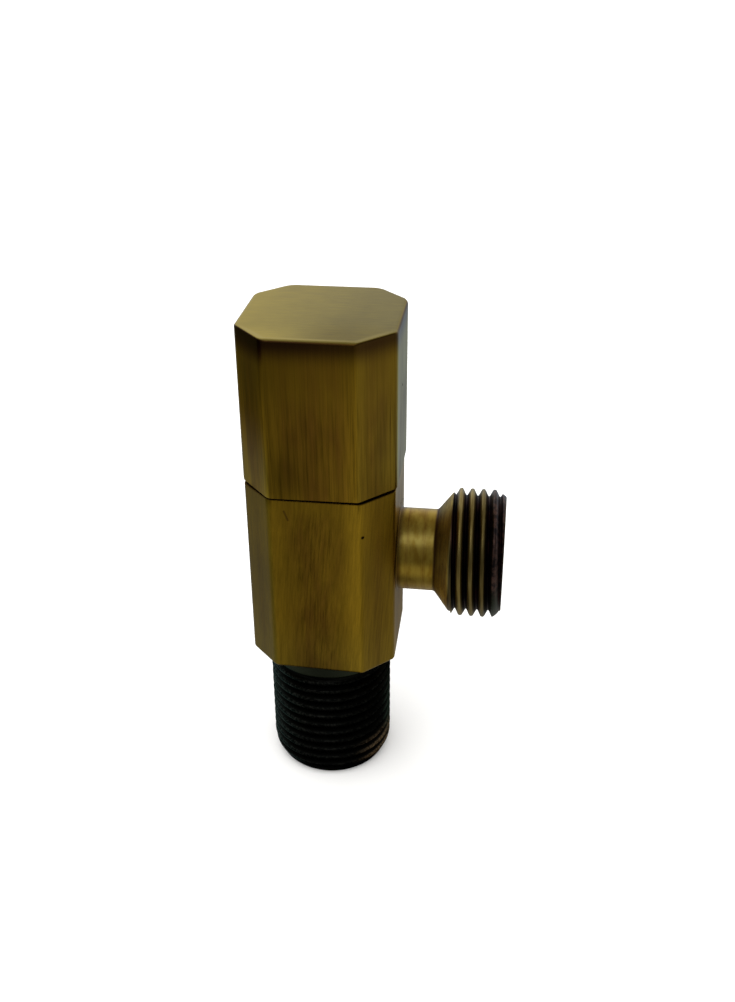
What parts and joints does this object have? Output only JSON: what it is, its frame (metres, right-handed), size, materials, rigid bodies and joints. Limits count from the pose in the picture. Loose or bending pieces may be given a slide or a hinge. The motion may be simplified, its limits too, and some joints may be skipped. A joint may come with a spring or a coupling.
{
  "type": "angle stop valve",
  "caption": "Quarter-turn angle stop valve with an octagonal body and handle, a threaded inlet below and a threaded outlet at right angles.",
  "frame": {"origin": "centre of the inlet's end face, on the valve's axis", "axes": "+Z along the valve's axis from inlet to handle, +X along the outlet, out of the valve"},
  "size_m": [0.0415, 0.0248, 0.0828],
  "materials": {
    "antique_brass_body": "antique brass, brushed along the axis, dark in the threads",
    "antique_brass_handle": "antique brass, brushed along the axis, satin top",
    "machined_brass": "turned",
    "black_oxide_steel": "black oxide",
    "stainless_steel": "plain",
    "nylon_white": "moulded",
    "acetal_grey": "moulded",
    "nitrile_rubber": "moulded",
    "alumina_ceramic": "lapped"
  },
  "bodies": {
    "valve": {"valve_body": "antique_brass_body", "bonnet": "machined_brass", "bonnet_o_ring": "nitrile_rubber", "slide_washer": "machined_brass", "thrust_washer": "nylon_white", "fixed_disc": "alumina_ceramic", "base_seal": "nitrile_rubber", "seal_support_ring": "nylon_white"},
    "rotor": {"handle": "antique_brass_handle", "grub_screw": "black_oxide_steel", "spline_adapter": "acetal_grey", "adapter_screw": "stainless_steel", "lock_washer": "stainless_steel", "guide_bush": "nylon_white", "spindle": "machined_brass", "circlip": "stainless_steel", "stop_washer": "stainless_steel", "upper_o_ring": "nitrile_rubber", "lower_o_ring": "nitrile_rubber"},
    "control_disc": {"moving_disc": "alumina_ceramic"}
  },
  "joints": [
    {"name": "handle_turn", "type": "hinge", "parent": "valve", "child": "rotor", "pos_m": [0, 0, 0.0568], "axis": [0, 0, 1], "range_deg": [0, 90]},
    {"name": "disc_turn", "type": "hinge", "parent": "valve", "child": "control_disc", "pos_m": [0, 0, 0.0414], "axis": [0, 0, 1], "range_deg": [0, 90]}
  ],
  "couplings": [
    {"joint": "disc_turn", "follows": "handle_turn", "ratio": 1}
  ]
}
